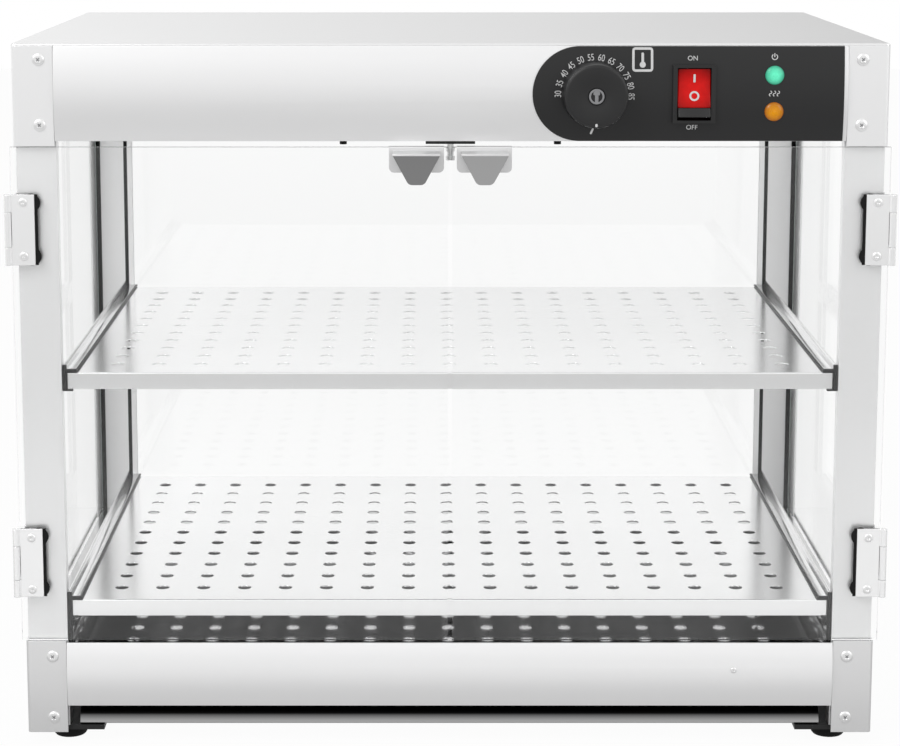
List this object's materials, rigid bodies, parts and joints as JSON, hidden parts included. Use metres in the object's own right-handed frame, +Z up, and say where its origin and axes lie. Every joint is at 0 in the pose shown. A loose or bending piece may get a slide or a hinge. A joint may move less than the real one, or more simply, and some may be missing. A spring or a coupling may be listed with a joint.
{
  "type": "heated display cabinet",
  "caption": "Countertop buffet warmer: a glazed two-tier heated cabinet with hinged glass doors, perforated shelves and a control panel.",
  "frame": {"origin": "centre of the whole object's bounding box footprint, at the underside of the rubber feet", "axes": "+Z up, +X to the viewer's right when facing the doors, front (doors and control panel) towards -Y"},
  "size_m": [0.6246, 0.423, 0.508],
  "materials": {
    "stainless_steel": "satin stainless sheet",
    "polished_steel": "polished stainless",
    "glass": "clear tempered glass",
    "black_rubber": "matte black rubber",
    "black_plastic": "satin black plastic",
    "pale_plastic": "off-white moulded plastic",
    "red_plastic": "glossy red",
    "green_lens": "translucent green lens",
    "amber_lens": "translucent amber lens"
  },
  "bodies": {
    "cabinet": {"roof_sheet": "stainless_steel", "upper_front_fascia": "stainless_steel", "upper_rear_fascia": "stainless_steel", "lower_front_fascia": "stainless_steel", "lower_rear_fascia": "stainless_steel", "upper_end_cap_left": "stainless_steel", "upper_end_cap_right": "stainless_steel", "lower_end_cap_left": "stainless_steel", "lower_end_cap_right": "stainless_steel", "ceiling_plate": "stainless_steel", "front_post_left": "stainless_steel", "front_post_right": "stainless_steel", "rear_post_left": "stainless_steel", "rear_post_right": "stainless_steel", "rear_glass_channels": "stainless_steel", "bottom_tray": "stainless_steel", "upper_shelf": "stainless_steel", "lower_shelf": "stainless_steel", "base_pan": "polished_steel", "hinge_brackets": "polished_steel", "stop_stud": "polished_steel", "hinge_pins": "polished_steel", "cap_screws": "polished_steel", "beam_screw": "polished_steel", "heating_element": "polished_steel", "element_clips": "polished_steel", "temperature_sensor": "polished_steel", "side_glass_left": "glass", "side_glass_right": "glass", "rear_glass": "glass", "feet": "black_rubber", "beam_bumpers": "black_rubber", "upper_runner_left": "black_plastic", "upper_runner_right": "black_plastic", "lower_runner_left": "black_plastic", "lower_runner_right": "black_plastic", "foot_plates": "black_plastic", "control_panel": "black_plastic", "switch_housing": "black_plastic", "magnetic_catch": "black_plastic", "cord_gland": "black_plastic", "thermostat": "black_plastic", "terminal_block": "pale_plastic", "green_lamp": "green_lens", "amber_lamp": "amber_lens"},
    "door_left": {"door_glass_left": "glass", "door_pull_left": "polished_steel", "hinge_leaves_left": "polished_steel", "hinge_gaskets_left": "black_rubber", "hinge_screws_left": "polished_steel"},
    "door_right": {"door_glass_right": "glass", "door_pull_right": "polished_steel", "hinge_leaves_right": "polished_steel", "hinge_gaskets_right": "black_rubber", "hinge_screws_right": "polished_steel"},
    "knob": {"thermostat_knob": "black_plastic", "thermostat_spindle": "polished_steel"},
    "rocker": {"switch_rocker": "red_plastic"}
  },
  "joints": [
    {"name": "door_left_hinge", "type": "hinge", "parent": "cabinet", "child": "door_left", "pos_m": [-0.3097, -0.1875, 0.25], "axis": [0, 0, -1], "range_deg": [0, 175]},
    {"name": "door_right_hinge", "type": "hinge", "parent": "cabinet", "child": "door_right", "pos_m": [0.3097, -0.1875, 0.25], "axis": [0, 0, 1], "range_deg": [0, 175]},
    {"name": "knob_turn", "type": "hinge", "parent": "cabinet", "child": "knob", "pos_m": [0.0998, -0.1905, 0.47325], "axis": [0, 1, 0], "range_deg": [0, 270]},
    {"name": "rocker_tilt", "type": "hinge", "parent": "cabinet", "child": "rocker", "pos_m": [0.1686, -0.1875, 0.47325], "axis": [1, 0, 0], "range_deg": [0, 16]}
  ]
}
